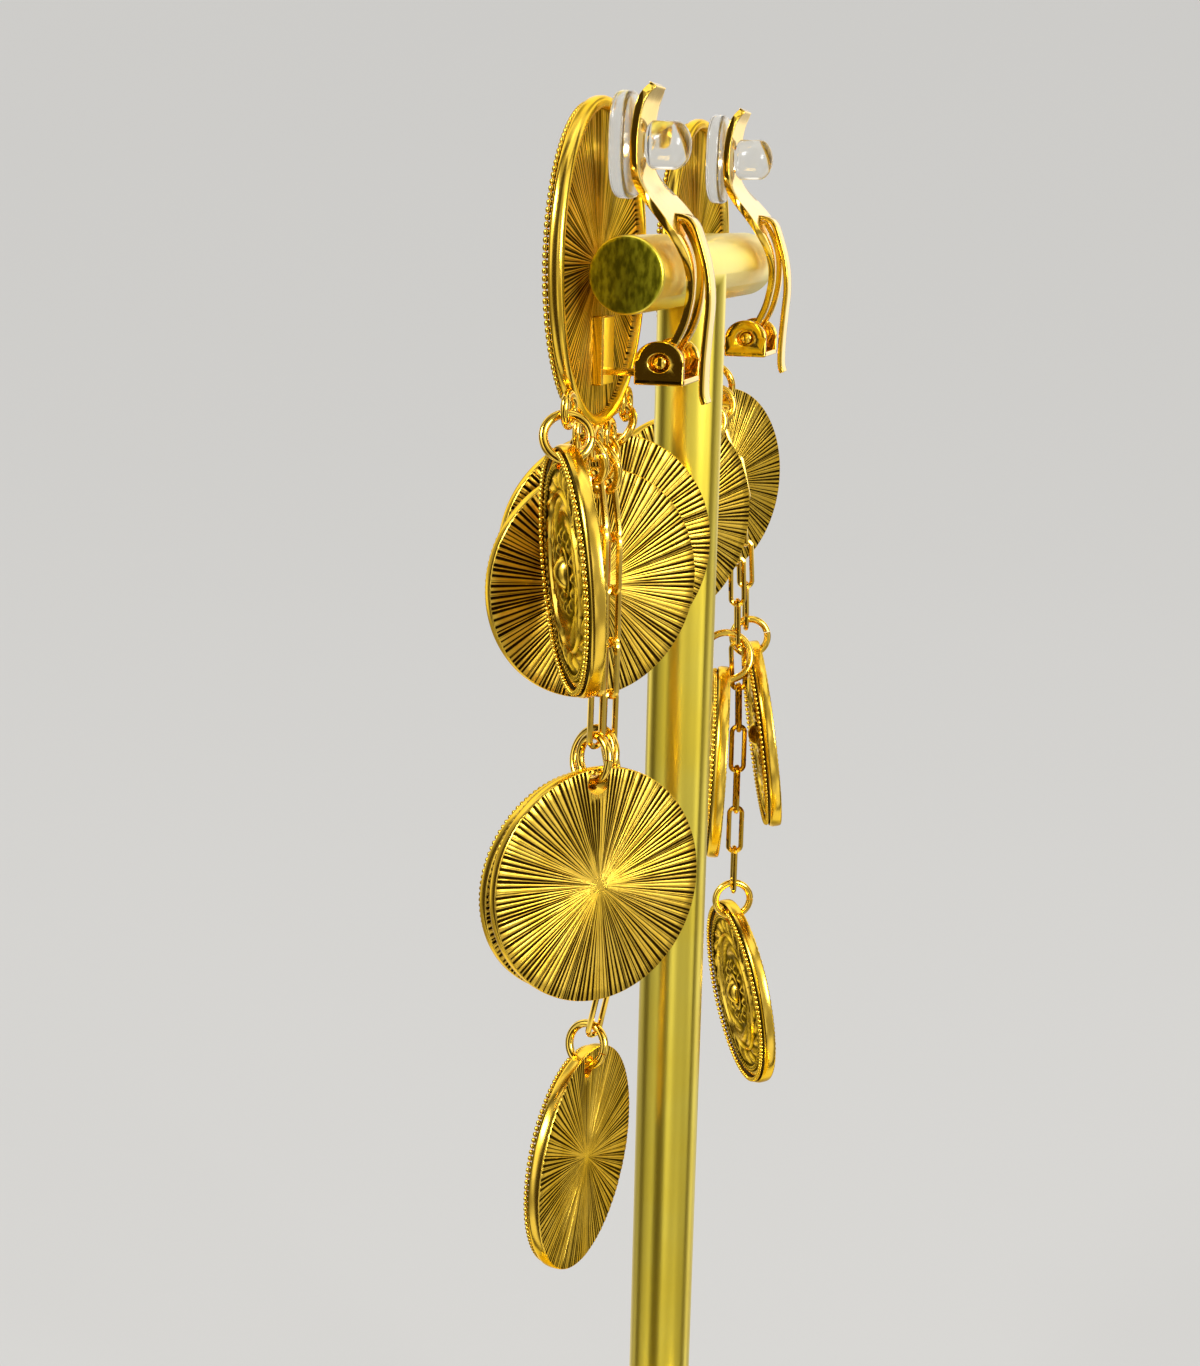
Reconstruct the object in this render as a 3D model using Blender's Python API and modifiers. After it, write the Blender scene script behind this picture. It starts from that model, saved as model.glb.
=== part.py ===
"""Pair of clip-on chandelier earrings hung on a plain T-bar stand.

World frame: metres, +Z up, origin at the middle of the base's underside. The crossbar lies along X and
the earrings' fronts face -Y. "right" is the earring at +X and "left" the one at -X; they are a mirrored
pair, except for how their loose discs have turned.
"""
import math

import bmesh
import bpy
from mathutils import Matrix, Vector

MM = 0.001

# stand
ROD_RADIUS = 3.0 * MM
BAR_LENGTH = 46.0 * MM
BAR_HEIGHT = 136.0 * MM
ROD_CHAMFER = 0.35 * MM
BASE_RADIUS = 29.0 * MM
BASE_THICKNESS = 4.0 * MM
BASE_CHAMFER = 0.8 * MM
SOCKET_DEPTH = 2.2 * MM

# clearances
SEAT_GAP = 0.3 * MM
LINK_GAP = 0.12 * MM
HANG_GAP = 0.28 * MM

# place of each earring along the crossbar
EARRING_X = {"right": 16.0 * MM, "left": -19.0 * MM}

# top disc
TOP_RADIUS = 12.9 * MM
TOP_THICKNESS = 1.6 * MM
TOP_CENTRE_RISE = 0.6 * MM
TOP_RECESS = 0.7 * MM

# hanging discs
DISC_RADIUS = 9.85 * MM
DISC_THICKNESS = 1.6 * MM
HOLE_RADIUS = 0.95 * MM
HOLE_EDGE = 0.30 * MM
HOLE_DROP = 0.18 * MM
BOSS_RADIUS = 1.9 * MM
BOSS_RISE = 0.8 * MM

# eyes, jump rings and chain links, all of round wire
EYE_RADIUS = 1.27 * MM
EYE_WIRE = 0.30 * MM
EYE_BITE = 0.30 * MM
EYE_STANDOFF = 0.05 * MM
RING_RADIUS = 1.88 * MM
LARGE_RING_RADIUS = 2.5 * MM
RING_WIRE = 0.32 * MM
LINK_RADIUS = 0.70 * MM
LINK_WIRE = 0.19 * MM
LINK_PITCH = 4.40 * MM
LINK_BITE = 0.13 * MM
LONG_LINKS = 11
SHORT_LINKS = 5
SHARED_JOINT = 5

# clip
SHEET = 0.6 * MM
PIVOT_Y = 1.85 * MM
PIVOT_DROP = 6.8 * MM
PIN_RADIUS = 0.62 * MM
PIN_CLEARANCE = 0.1 * MM
LEG_HALF_WIDTH = 2.3 * MM
CUT_REACH = 8.0 * MM
SLOT_HALF_WIDTH = 1.4 * MM
SLOT_TOP = 4.1 * MM
TONGUE_HALF_WIDTH = 1.1 * MM
TONGUE_SHEET = 0.45 * MM
EAR_THICKNESS = 0.5 * MM
EAR_SINK = 0.1 * MM
EAR_FRONT = 2.05 * MM
EAR_BACK = 1.95 * MM
EAR_TOP_RADIUS = 1.7 * MM
FLOOR_DROP = 1.75 * MM
FLOOR_THICKNESS = 0.5 * MM
NECK_HALF_WIDTH = 1.2 * MM
NECK_THICKNESS = 0.5 * MM
FOOT_HALF_WIDTH = 1.7 * MM
FOOT_THICKNESS = 0.9 * MM
FOOT_TOP = 3.4 * MM
FOOT_BOTTOM = 8.9 * MM

# comfort pad
PAD_HEIGHT = 8.2 * MM
PAD_WIDTH = 7.4 * MM
PAD_THICKNESS = 1.3 * MM
PAD_RISE = 9.8 * MM
KNOB_RADIUS = 1.85 * MM
KNOB_LENGTH = 3.3 * MM
STEM_RADIUS = 0.95 * MM

# facets
DISC_SIDES = 26
TOP_SIDES = 36
RING_SIDES = 10
WIRE_SIDES = 5
LINK_SIDES = 8
LINK_WIRE_SIDES = 5
ROD_SIDES = 24

# turned section of a hanging disc, front centre to back centre, beyond its boss:
# share of the radius, share of the thickness above the back
DISC_SECTION = (
    (0.25, 0.78),
    (0.86, 0.78),
    (0.90, 1.00),
    (0.99, 0.75),
    (0.985, 0.00),
)

# turned section of the top disc, front to the back's rim, beyond its boss
TOP_SECTION = (
    (0.19, 0.80),
    (0.89, 0.80),
    (0.915, 1.00),
    (0.955, 0.96),
    (1.00, 0.42),
    (0.985, 0.00),
    (0.90, 0.00),
)

# the lever's sheet, tip to pivot: y and height above the bar's axis of its middle, half its width
LEVER_SECTION = (
    (0.45, 14.3, 2.1),
    (-0.25, 13.1, 2.6),
    (-0.60, 11.5, 2.8),
    (-0.70, 9.6, 2.9),
    (-0.60, 8.0, 3.0),
    (-0.10, 6.9, 3.9),
    (0.85, 5.8, 4.9),
    (1.85, 4.7, 5.2),
    (2.75, 3.5, 5.0),
    (3.45, 2.2, 4.2),
    (3.85, 0.8, 3.1),
    (3.95, -0.8, 2.3),
    (3.80, -2.4, 2.3),
    (3.30, -4.2, 2.3),
    (2.15, -6.4, 2.3),
)

# the spring tongue, from its root in the sheet to its free tail: y, height above the bar's axis
TONGUE_SECTION = (
    (2.05, 4.50),
    (3.50, 4.10),
    (4.35, 2.20),
    (4.95, 0.00),
    (5.15, -2.20),
    (5.00, -4.50),
    (4.85, -7.00),
    (4.85, -9.20),
    (5.10, -10.10),
)

# each loose disc: azimuth that its back faces, lean of its back upwards, how far its ring swings along
# X and Y, and the azimuth of its ring's plane; degrees and millimetres
DANGLE = {
    "right": {
        "upper_outer": (117.0, 4.0, 1.5, 0.2, 110.0),
        "upper_middle": (44.0, 0.0, 0.1, -1.4, 60.0),
        "upper_inner": (39.0, 0.0, 1.4, -1.2, 56.0),
        "lower_long": (50.0, -2.0, 0.1, -2.4, 58.0),
        "lower_short": (48.0, 4.0, 0.6, 0.0, 54.0),
        "bottom": (82.0, 0.0, 0.6, -0.9, 70.0),
    },
    "left": {
        "upper_outer": (62.0, 0.0, -1.2, 0.3, 66.0),
        "upper_middle": (70.0, 0.0, 1.1, -1.1, 70.0),
        "upper_inner": (55.0, 0.0, 1.3, 0.0, 58.0),
        "lower_long": (103.0, -2.0, 2.1, -1.7, 108.0),
        "lower_short": (106.0, 8.0, 0.0, 1.0, 108.0),
        "bottom": (118.0, 8.0, 0.0, 0.0, 114.0),
    },
}

# angle of each eye from the top disc's lowest point, towards the outer side of the pair
EYES = {
    "upper_outer": 41.0,
    "short_chain": 25.0,
    "long_chain": 7.0,
    "upper_middle": -11.0,
    "upper_inner": -34.0,
}
OUTWARD = {"right": 1.0, "left": -1.0}

# the chains' bow: height below the bar's axis, y; and the azimuth that their top rings' planes hold
CHAIN_BOW = {
    "right": ((-17.0, -2.2), (-19.0, -1.9), (-33.0, -1.9), (-39.5, -2.0), (-44.0, -0.9), (-58.0, -1.4), (-66.0, -3.1)),
    "left": ((-17.0, -2.0), (-21.0, 0.2), (-30.0, 1.0), (-39.0, 1.3), (-44.0, 1.7), (-66.0, 1.8)),
}
CHAIN_TURN = {"right": 60.0, "left": 110.0}
CHAIN_SWING = {"right": 1.3 * MM, "left": 1.7 * MM}
SLOPE_LIMIT = 13.0

GOLD = (0.72, 0.46, 0.10, 1.0)
SATIN_GOLD = (0.74, 0.62, 0.28, 1.0)
CLEAR_SILICONE = (0.85, 0.84, 0.80, 1.0)


def reset_scene():
    for old in list(bpy.data.objects):
        bpy.data.objects.remove(old, do_unlink=True)
    parts = bpy.data.collections.new("EarringPair")
    bpy.context.scene.collection.children.link(parts)
    return parts


PARTS = reset_scene()


def material(name, colour, roughness, metallic):
    mat = bpy.data.materials.new(name)
    mat.use_nodes = True
    shader = mat.node_tree.nodes["Principled BSDF"]
    shader.inputs["Base Color"].default_value = colour
    shader.inputs["Roughness"].default_value = roughness
    shader.inputs["Metallic"].default_value = metallic
    return mat


def evaluated_mesh(obj):
    """The object's mesh with its modifiers applied, in world space."""
    bpy.context.view_layer.update()
    depsgraph = bpy.context.evaluated_depsgraph_get()
    mesh = bpy.data.meshes.new_from_object(obj.evaluated_get(depsgraph))
    mesh.transform(obj.matrix_world)
    return mesh


def as_plain(obj):
    """Turn an object into plain mesh at the world origin, so that booleans and parents stay simple."""
    mesh = evaluated_mesh(obj)
    name = obj.name
    bpy.data.objects.remove(obj, do_unlink=True)
    plain = bpy.data.objects.new(name, mesh)
    PARTS.objects.link(plain)
    return plain


def combine(base, others, operation):
    """Join others to base, or cut them from it, and drop the tools."""
    for tool in others:
        step = base.modifiers.new(operation.title(), "BOOLEAN")
        step.operation = operation
        step.solver = "EXACT"
        step.object = tool
        base = as_plain(base)
    for tool in others:
        bpy.data.objects.remove(tool, do_unlink=True)
    return base


def take_active(name, frame):
    """Move the primitive just added into the parts' collection, with its place in its mesh."""
    obj = bpy.context.active_object
    obj.name = name
    for home in list(obj.users_collection):
        home.objects.unlink(obj)
    PARTS.objects.link(obj)
    obj.data.transform(frame)
    return obj


def box(name, low, high):
    bpy.ops.mesh.primitive_cube_add(size=1.0)
    size = [b - a for a, b in zip(low, high)]
    centre = [(a + b) / 2 for a, b in zip(low, high)]
    return take_active(name, Matrix.Translation(centre) @ Matrix.Diagonal((*size, 1.0)))


def cylinder(name, radius, depth, frame, sides):
    bpy.ops.mesh.primitive_cylinder_add(vertices=sides, radius=radius, depth=depth)
    return take_active(name, frame)


def torus(name, radius, wire, frame, sides, wire_sides):
    bpy.ops.mesh.primitive_torus_add(major_segments=sides, minor_segments=wire_sides,
                                     major_radius=radius, minor_radius=wire)
    return take_active(name, frame)


def turned(name, profile, sides, frame):
    """Turn a profile of (radius, height) points, front centre to back centre, about local Z."""
    mesh = bpy.data.meshes.new(name)
    edges = [(i, i + 1) for i in range(len(profile) - 1)]
    mesh.from_pydata([(r, 0.0, z) for r, z in profile], edges, [])
    obj = bpy.data.objects.new(name, mesh)
    PARTS.objects.link(obj)
    screw = obj.modifiers.new("Turn", "SCREW")
    screw.axis = "Z"
    screw.angle = math.tau
    screw.steps = sides
    screw.render_steps = sides
    screw.use_merge_vertices = True
    screw.merge_threshold = 0.00001
    screw.use_normal_calculate = True
    plain = as_plain(obj)
    plain.data.transform(frame)
    return plain


def strip(name, section, sheet):
    """A bent sheet: rows of (y, height, half width) across X, given its thickness by Solidify."""
    rows = len(section)
    shell = bmesh.new()
    bmesh.ops.create_grid(shell, x_segments=1, y_segments=rows - 1, size=1.0)
    shell.verts.ensure_lookup_table()
    ordered = sorted(shell.verts, key=lambda v: (round(v.co.y, 6), v.co.x))
    for row, (y, height, half_width) in enumerate(section):
        for side, vert in zip((-1.0, 1.0), ordered[2 * row:2 * row + 2]):
            vert.co = Vector((side * half_width, y, height))
    mesh = bpy.data.meshes.new(name)
    shell.to_mesh(mesh)
    shell.free()
    obj = bpy.data.objects.new(name, mesh)
    PARTS.objects.link(obj)
    wall = obj.modifiers.new("Sheet", "SOLIDIFY")
    wall.thickness = sheet
    wall.offset = 0.0
    wall.use_even_offset = True
    return as_plain(obj)


def finish(obj, name, mat, smooth_angle=0.7):
    obj.name = name
    obj.data.name = name
    obj.data.materials.clear()
    obj.data.materials.append(mat)
    obj.data.shade_smooth()
    obj.data.set_sharp_from_angle(angle=smooth_angle)
    return obj


def upright(centre, azimuth, lean=0.0):
    """Frame of a disc or ring that hangs at centre: local Z is its front, local Y is up in its plane.

    Azimuth is where its back faces and lean tips its back upwards, both in degrees.
    """
    a = math.radians(azimuth)
    t = math.radians(lean)
    back = Vector((math.cos(a) * math.cos(t), math.sin(a) * math.cos(t), math.sin(t)))
    up = Vector((-math.cos(a) * math.sin(t), -math.sin(a) * math.sin(t), math.cos(t)))
    front = -back
    side = up.cross(front)
    turn = Matrix((side, up, front)).transposed().to_4x4()
    return Matrix.Translation(centre) @ turn


ALONG_X = Matrix.Rotation(math.pi / 2, 4, "Y")
gold = material("polished_gold", GOLD, 0.22, 1.0)
satin = material("satin_gold", SATIN_GOLD, 0.38, 1.0)
silicone = material("clear_silicone", CLEAR_SILICONE, 0.25, 0.0)


def rod(name, length, frame):
    half = length / 2
    profile = [(0.0, half), (ROD_RADIUS - ROD_CHAMFER, half), (ROD_RADIUS, half - ROD_CHAMFER),
               (ROD_RADIUS, ROD_CHAMFER - half), (ROD_RADIUS - ROD_CHAMFER, -half), (0.0, -half)]
    return turned(name, profile, ROD_SIDES, frame)


def make_stand():
    """The crossbar soldered on its post, and the weighted base that the post seats in."""
    socket_floor = BASE_THICKNESS - SOCKET_DEPTH
    post_foot = socket_floor + SEAT_GAP
    post_length = BAR_HEIGHT - post_foot
    post = rod("post", post_length, Matrix.Translation((0, 0, post_foot + post_length / 2)))
    bar = rod("bar", BAR_LENGTH, Matrix.Translation((0, 0, BAR_HEIGHT)) @ ALONG_X)
    tbar = combine(bar, [post], "UNION")
    finish(tbar, "stand_tbar", satin)

    profile = [(0.0, BASE_THICKNESS), (BASE_RADIUS - BASE_CHAMFER, BASE_THICKNESS),
               (BASE_RADIUS, BASE_THICKNESS - BASE_CHAMFER), (BASE_RADIUS, 0.0), (0.0, 0.0)]
    base = turned("base", profile, 36, Matrix.Identity(4))
    socket = cylinder("socket", ROD_RADIUS + SEAT_GAP, 2 * SOCKET_DEPTH,
                      Matrix.Translation((0, 0, BASE_THICKNESS)), ROD_SIDES)
    base = combine(base, [socket], "DIFFERENCE")
    finish(base, "stand_base", satin)


def disc_profile(radius, thickness, boss_radius, section, back):
    boss = [(0.0, thickness + BOSS_RISE), (boss_radius * 0.6, thickness + BOSS_RISE * 0.62)]
    rim = [(r * radius, h * thickness) for r, h in section]
    return boss + rim + back


def make_disc(name, low, azimuth, lean):
    """A cast disc that hangs by the hole near its edge, from a ring whose lowest point is given."""
    hole_place = DISC_RADIUS - HOLE_EDGE - HOLE_RADIUS
    profile = disc_profile(DISC_RADIUS, DISC_THICKNESS, BOSS_RADIUS, DISC_SECTION, [(0.0, 0.0)])
    disc = turned(name, profile, DISC_SIDES, Matrix.Identity(4))
    drill = cylinder("drill", HOLE_RADIUS, 6 * DISC_THICKNESS, Matrix.Translation((0, hole_place, 0)), 10)
    disc = combine(disc, [drill], "DIFFERENCE")
    frame = upright(low - Vector((0, 0, HOLE_DROP)), azimuth, lean)
    disc.data.transform(frame @ Matrix.Translation((0, -hole_place, -DISC_THICKNESS / 2)))
    return finish(disc, name, gold)


def ring_on(name, hook, azimuth, swing_x, swing_y, radius=RING_RADIUS):
    """A jump ring that hangs from hook, the middle of its wire at its top, and swings a little.

    Its plane holds the azimuth. Returns the point of its wire that the next piece hangs from: its lowest,
    or as near to that as a piece that leans on it gets.
    """
    half = radius * math.cos(math.pi / RING_SIDES)
    drop = 2 * half
    down = Vector((swing_x, swing_y, -math.sqrt(drop ** 2 - swing_x ** 2 - swing_y ** 2))).normalized()
    a = math.radians(azimuth)
    along = Vector((math.cos(a), math.sin(a), 0.0))
    along = (along - down * along.dot(down)).normalized()
    axis = along.cross(down)
    centre = hook + down * half
    half_side = Matrix.Rotation(math.pi / RING_SIDES, 4, "Z")
    turn = Matrix((along, down, axis)).transposed().to_4x4()
    ring = torus(name, radius, RING_WIRE, Matrix.Translation(centre) @ turn @ half_side,
                 RING_SIDES, WIRE_SIDES)
    finish(ring, name, gold)
    to_lowest = math.atan2(-along.z, -down.z)
    settle = math.copysign(max(abs(to_lowest) - math.radians(SLOPE_LIMIT), 0.0), to_lowest)
    return centre + (down * math.cos(settle) + along * math.sin(settle)) * half


def bow(side, height):
    """The chains' y at a height, from the table."""
    below = (height - BAR_HEIGHT) / MM
    table = CHAIN_BOW[side]
    for (z0, y0), (z1, y1) in zip(table, table[1:]):
        if below >= z1:
            break
    share = min(max((below - z0) / (z1 - z0), 0.0), 1.0)
    return (y0 + (y1 - y0) * share) * MM


def chain_on(side, chain_name, hook, azimuth, count):
    """A chain of long links fused where they meet, hung over the wire whose middle is at hook.

    Returns the joints between its links, from the middle of its top wire down.
    """
    end = LINK_WIRE - LINK_BITE / 2
    flat_top = LINK_RADIUS * math.cos(math.pi / LINK_SIDES)
    stretch = LINK_PITCH / 2 + end - flat_top
    half_side = Matrix.Rotation(math.pi / LINK_SIDES, 4, "Z")
    top = hook + Vector((0, 0, RING_WIRE + LINK_WIRE + LINK_GAP - end))
    joints = [top]
    links = []
    for number in range(count):
        start = joints[-1]
        z = start.z - LINK_PITCH
        reach = Vector((top.x, bow(side, z), z)) - start
        foot = start + reach.normalized() * LINK_PITCH
        link = torus("link", LINK_RADIUS, LINK_WIRE, half_side, LINK_SIDES, LINK_WIRE_SIDES)
        for vert in link.data.vertices:
            vert.co.y += math.copysign(stretch, vert.co.y)
        lean = Vector((0, 0, -1)).rotation_difference(reach).to_matrix().to_4x4()
        turn = azimuth + 90.0 * (number % 2)
        link.data.transform(Matrix.Translation((start + foot) / 2) @ lean @ upright(Vector(), turn))
        links.append(link)
        joints.append(foot)
    chain = combine(links[0], links[1:], "UNION")
    finish(chain, side + "_" + chain_name, gold)
    return joints


def on_wire(low_point, wire):
    """Where the middle of a jump ring's wire sits when it rests on a wire whose middle is given."""
    return low_point + Vector((0, 0, wire + RING_WIRE + HANG_GAP))


def eye_centre(side, place):
    """Middle of an eye on the top disc's lower edge, in world coordinates."""
    angle = math.radians(EYES[place])
    reach = TOP_RADIUS + EYE_RADIUS + EYE_WIRE - EYE_BITE
    x = EARRING_X[side] + OUTWARD[side] * reach * math.sin(angle)
    y = -ROD_RADIUS - SEAT_GAP - EYE_WIRE - EYE_STANDOFF
    z = BAR_HEIGHT + TOP_CENTRE_RISE - reach * math.cos(angle)
    return Vector((x, y, z))


def make_bracket():
    """The soldered clip bracket: a foot on the disc's back, a neck, a floor and two pierced ears.

    It is made round the bar's axis, at height 0, and moved into place with the disc.
    """
    disc_back = -ROD_RADIUS - SEAT_GAP
    recess_floor = disc_back - TOP_RECESS
    pivot_z = -PIVOT_DROP
    ear_in = LEG_HALF_WIDTH + SEAT_GAP
    ear_out = ear_in + EAR_THICKNESS
    front = PIVOT_Y - EAR_FRONT
    back = PIVOT_Y + EAR_BACK
    floor_top = pivot_z - FLOOR_DROP + FLOOR_THICKNESS
    sink = TOP_RECESS / 2
    foot = box("foot", (-FOOT_HALF_WIDTH, recess_floor - sink, -FOOT_BOTTOM),
               (FOOT_HALF_WIDTH, recess_floor + FOOT_THICKNESS, -FOOT_TOP))
    neck_z = floor_top + NECK_THICKNESS
    neck = box("neck", (-NECK_HALF_WIDTH, recess_floor, neck_z - 2 * NECK_THICKNESS),
               (NECK_HALF_WIDTH, front + EAR_THICKNESS, neck_z))
    floor = box("floor", (-ear_out, front, pivot_z - FLOOR_DROP), (ear_out, back, floor_top))
    pieces = [neck, floor]
    for way in (-1.0, 1.0):
        near, far = sorted((way * ear_in, way * ear_out))
        wall = box("ear", (near, front, pivot_z - FLOOR_DROP + EAR_SINK), (far, back, pivot_z))
        middle = Matrix.Translation(((near + far) / 2, (front + back) / 2, pivot_z))
        squash = Matrix.Diagonal((1.0, (back - front) / 2 / EAR_TOP_RADIUS, 1.0, 1.0))
        crown = cylinder("crown", EAR_TOP_RADIUS, EAR_THICKNESS, middle @ squash @ ALONG_X, 16)
        pieces += [wall, crown]
    bracket = combine(foot, pieces, "UNION")
    bore = cylinder("bore", PIN_RADIUS + PIN_CLEARANCE, 3 * ear_out,
                    Matrix.Translation((0, PIVOT_Y, pivot_z)) @ ALONG_X, 12)
    return combine(bracket, [bore], "DIFFERENCE")


def make_top_disc(side):
    """The cast top disc with its five eyes and its clip bracket, soldered into one piece."""
    hub = Vector((EARRING_X[side], 0, BAR_HEIGHT))
    back = [(TOP_SECTION[-1][0] * TOP_RADIUS, TOP_RECESS), (0.0, TOP_RECESS)]
    profile = disc_profile(TOP_RADIUS, TOP_THICKNESS, BOSS_RADIUS * 1.2, TOP_SECTION, back)
    centre = Vector((0, -ROD_RADIUS - SEAT_GAP, TOP_CENTRE_RISE))
    disc = turned("disc", profile, TOP_SIDES, upright(centre, 90.0))
    eyes = []
    for place in EYES:
        frame = upright(eye_centre(side, place) - hub, 90.0)
        eyes.append(torus("eye", EYE_RADIUS, EYE_WIRE, frame, RING_SIDES, WIRE_SIDES))
    disc = combine(disc, [make_bracket()] + eyes, "UNION")
    disc.data.transform(Matrix.Translation(hub))
    finish(disc, side + "_top_disc", gold)


def make_lever(side):
    """The sprung paddle: a bent sheet on a pivot pin, with a tongue cut from its middle."""
    pivot_z = -PIVOT_DROP
    sheet_rows = [(y * MM, h * MM, w * MM) for y, h, w in LEVER_SECTION]
    tongue_rows = [(y * MM, h * MM, TONGUE_HALF_WIDTH) for y, h in TONGUE_SECTION]
    lever = strip("sheet", sheet_rows, SHEET)
    slot = box("slot", (-SLOT_HALF_WIDTH, 0.0, -3 * PIVOT_DROP), (SLOT_HALF_WIDTH, CUT_REACH, SLOT_TOP))
    pad_hole = cylinder("pad_hole", STEM_RADIUS + SEAT_GAP, CUT_REACH,
                        Matrix.Translation((0, 0, PAD_RISE)) @ Matrix.Rotation(math.pi / 2, 4, "X"), 12)
    lever = combine(lever, [slot, pad_hole], "DIFFERENCE")
    tongue = strip("tongue", tongue_rows, TONGUE_SHEET)
    ear_reach = LEG_HALF_WIDTH + SEAT_GAP + EAR_THICKNESS
    knuckles = []
    for way in (-1.0, 1.0):
        middle = way * (LEG_HALF_WIDTH + SLOT_HALF_WIDTH) / 2
        knuckles.append(cylinder("knuckle", 1.7 * PIN_RADIUS, 0.9 * (LEG_HALF_WIDTH - SLOT_HALF_WIDTH),
                                 Matrix.Translation((middle, PIVOT_Y, pivot_z)) @ ALONG_X, 12))
    pin = cylinder("pin", PIN_RADIUS, 2 * ear_reach, Matrix.Translation((0, PIVOT_Y, pivot_z)) @ ALONG_X, 12)
    lever = combine(lever, [tongue] + knuckles + [pin], "UNION")
    lever.data.transform(Matrix.Translation((EARRING_X[side], 0, BAR_HEIGHT)))
    finish(lever, side + "_clip_lever", gold)


def make_pad(side):
    """The clear comfort pad: a rounded slab, a stem through the lever and a round knob behind."""
    x = EARRING_X[side]
    z = BAR_HEIGHT + PAD_RISE
    sheet_front = LEVER_SECTION[3][0] * MM - SHEET / 2
    sheet_back = sheet_front + SHEET
    slab_back = sheet_front - SEAT_GAP
    slab = box("slab", (-PAD_WIDTH / 2, slab_back - PAD_THICKNESS, -PAD_HEIGHT / 2),
               (PAD_WIDTH / 2, slab_back, PAD_HEIGHT / 2))
    round_edge = slab.modifiers.new("Corners", "BEVEL")
    round_edge.width = PAD_THICKNESS * 0.45
    round_edge.segments = 2
    slab = as_plain(slab)
    knob_front = sheet_back + SEAT_GAP
    knob_profile = [(0.0, KNOB_LENGTH), (KNOB_RADIUS * 0.6, KNOB_LENGTH * 0.93), (KNOB_RADIUS, KNOB_LENGTH * 0.62),
                    (KNOB_RADIUS, 0.0), (STEM_RADIUS, 0.0), (STEM_RADIUS, slab_back - knob_front - PAD_THICKNESS / 2),
                    (0.0, slab_back - knob_front - PAD_THICKNESS / 2)]
    towards_back = Matrix.Rotation(-math.pi / 2, 4, "X")
    knob = turned("knob", knob_profile, 16, Matrix.Translation((0, knob_front, 0)) @ towards_back)
    pad = combine(slab, [knob], "UNION")
    pad.data.transform(Matrix.Translation((x, 0, z)))
    finish(pad, side + "_comfort_pad", silicone)


def hang_disc(side, place, hook):
    """A jump ring on hook and the disc that it carries; returns the ring's lowest point."""
    azimuth, lean, swing_x, swing_y, ring_turn = DANGLE[side][place]
    name = side + "_" + place
    radius = LARGE_RING_RADIUS if place == "lower_long" else RING_RADIUS
    low = ring_on(name + "_ring", hook, ring_turn, swing_x * MM, swing_y * MM, radius)
    make_disc(name + "_disc", low, azimuth, lean)
    return low


def make_drops(side):
    """Everything that hangs from the eyes of one top disc."""
    eye_low = Vector((0, 0, -EYE_RADIUS))
    for place in ("upper_outer", "upper_middle", "upper_inner"):
        hang_disc(side, place, on_wire(eye_centre(side, place) + eye_low, EYE_WIRE))

    turn = CHAIN_TURN[side]
    link_end = Vector((0, 0, LINK_BITE / 2 - LINK_WIRE))
    for chain, count, drop in (("short_chain", SHORT_LINKS, "lower_short"), ("long_chain", LONG_LINKS, "bottom")):
        hook = on_wire(eye_centre(side, chain) + eye_low, EYE_WIRE)
        low = ring_on(side + "_" + chain + "_ring", hook, turn, 0.0, CHAIN_SWING[side])
        joints = chain_on(side, chain, low, turn, count)
        hang_disc(side, drop, on_wire(joints[-1] + link_end, LINK_WIRE))
    hang_disc(side, "lower_long", on_wire(joints[SHARED_JOINT] - link_end, LINK_WIRE))


make_stand()
for earring in ("right", "left"):
    make_top_disc(earring)
    make_lever(earring)
    make_pad(earring)
    make_drops(earring)
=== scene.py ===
"""Pair of clip-on chandelier earrings on a gold T-bar stand: the looks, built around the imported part.

Lengths are in metres in the part's own frame: +Z up, the crossbar along X, the earrings' fronts towards -Y.
"""
import math
import random

import bmesh
import bpy
from mathutils import Matrix, Vector


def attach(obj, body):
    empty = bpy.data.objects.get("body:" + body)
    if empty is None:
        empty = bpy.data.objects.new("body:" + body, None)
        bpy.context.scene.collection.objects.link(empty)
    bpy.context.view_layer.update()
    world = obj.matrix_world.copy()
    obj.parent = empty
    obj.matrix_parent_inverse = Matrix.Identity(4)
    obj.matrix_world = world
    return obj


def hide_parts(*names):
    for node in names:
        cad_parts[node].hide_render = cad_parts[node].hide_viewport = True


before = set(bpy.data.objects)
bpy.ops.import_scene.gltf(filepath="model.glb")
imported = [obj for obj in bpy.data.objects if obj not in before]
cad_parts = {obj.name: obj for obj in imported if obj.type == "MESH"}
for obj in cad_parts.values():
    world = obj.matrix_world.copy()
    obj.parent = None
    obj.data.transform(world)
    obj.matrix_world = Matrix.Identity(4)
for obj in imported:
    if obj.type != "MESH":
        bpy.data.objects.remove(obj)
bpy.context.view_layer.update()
MM = 0.001

# The stand's T-bar
# A 6 mm rod soldered square across the top of a second one, with its ends faced and lightly chamfered.
# It is brass with a satin gold plate, and the sawn end faces are brushed darker and greener.
BAR_HEIGHT = 136.0 * MM
BAR_LENGTH = 46.0 * MM
ROD_RADIUS = 3.0 * MM
ROD_CHAMFER = 0.35 * MM
ROD_STEPS = 96
POST_FOOT = 2.1 * MM
FACING_DEPTH = (0.12 * MM, 0.04 * MM)
SATIN_PLATE = (0.98, 0.81, 0.11, 1.0)
SATIN_SHADE = (0.93, 0.73, 0.07, 1.0)
FACED_DARK = (0.15, 0.14, 0.004, 1.0)
FACED_LIGHT = (0.46, 0.42, 0.02, 1.0)
STAND_BODY = "earrings_on_stand"


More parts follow.
